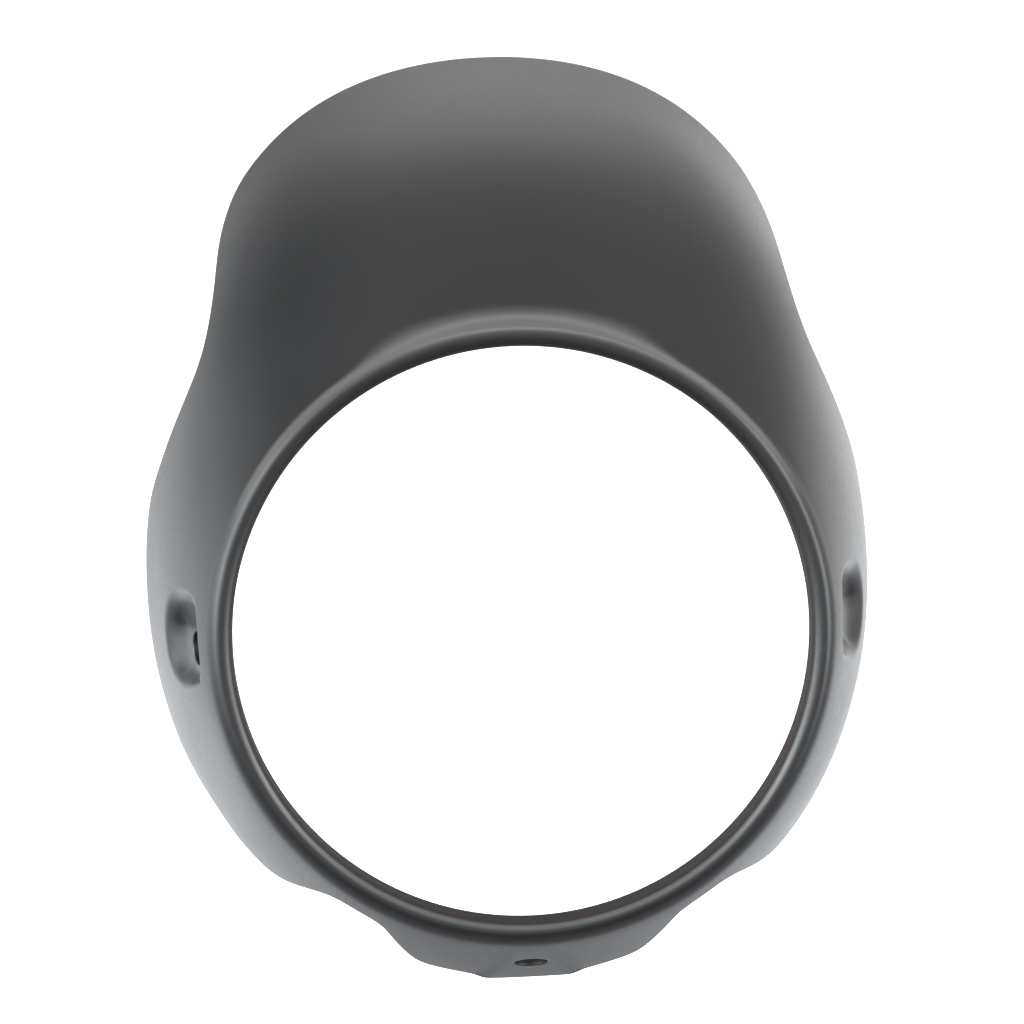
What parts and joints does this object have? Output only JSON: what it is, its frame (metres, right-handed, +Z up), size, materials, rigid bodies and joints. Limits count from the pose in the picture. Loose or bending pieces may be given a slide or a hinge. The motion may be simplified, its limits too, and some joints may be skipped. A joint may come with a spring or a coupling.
{
  "type": "motorbike headlight cowl",
  "caption": "Moulded cowl that surrounds a round headlamp, with a high visor over the top, side wings with bolt pockets and a chin tab with a bolt hole.",
  "frame": {"origin": "centre of the round headlight opening, where its straight land begins behind the rolled bead", "axes": "+X to the right as seen from the front, -Y out of the front of the opening, +Z up towards the visor"},
  "size_m": [0.2286, 0.1197, 0.2833],
  "materials": {
    "cowl": "satin black moulded plastic with a very fine grain"
  },
  "bodies": {
    "root": {"cowl": "cowl"}
  },
  "joints": []
}
